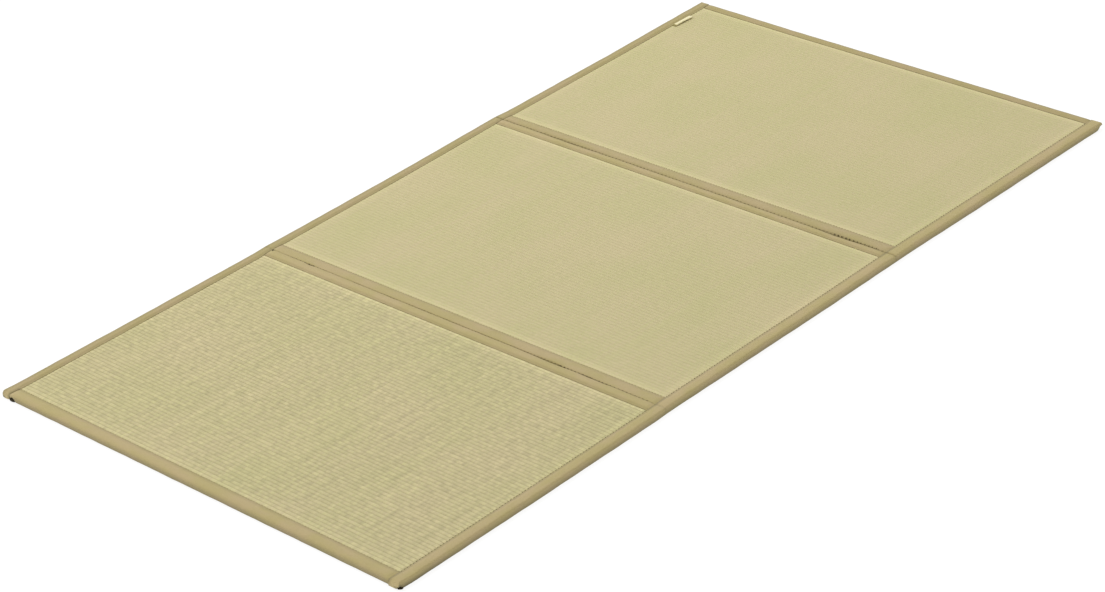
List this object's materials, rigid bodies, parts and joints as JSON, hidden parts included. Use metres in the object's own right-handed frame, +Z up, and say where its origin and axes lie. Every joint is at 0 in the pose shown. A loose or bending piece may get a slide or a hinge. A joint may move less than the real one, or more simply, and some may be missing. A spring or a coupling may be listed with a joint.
{
  "type": "folding rush mat",
  "caption": "Thin folding floor mat of ribbed woven rush panels edged with cloth tape, lying open and flat.",
  "frame": {"origin": "on the floor under the middle of the mat", "axes": "+Y along the mat's length from the front panel to the back one, +X to its right side, +Z up"},
  "size_m": [1.0052, 1.8506, 0.014],
  "materials": {
    "rush": "woven rush, dry and slightly glossy along the stalks",
    "tape": "closely woven matt cloth tape, khaki beige",
    "label": "smooth woven ribbon, cream, blank"
  },
  "bodies": {
    "root": {"rush_front": "rush", "rush_middle": "rush", "rush_back": "rush", "binding_front_edge": "tape", "binding_fold_1_near": "tape", "binding_fold_1_far": "tape", "binding_fold_2_near": "tape", "binding_fold_2_far": "tape", "binding_back_edge": "tape", "side_binding_left_front": "tape", "side_binding_right_front": "tape", "side_binding_left_back": "tape", "side_binding_right_back": "tape", "label": "label"}
  },
  "joints": []
}
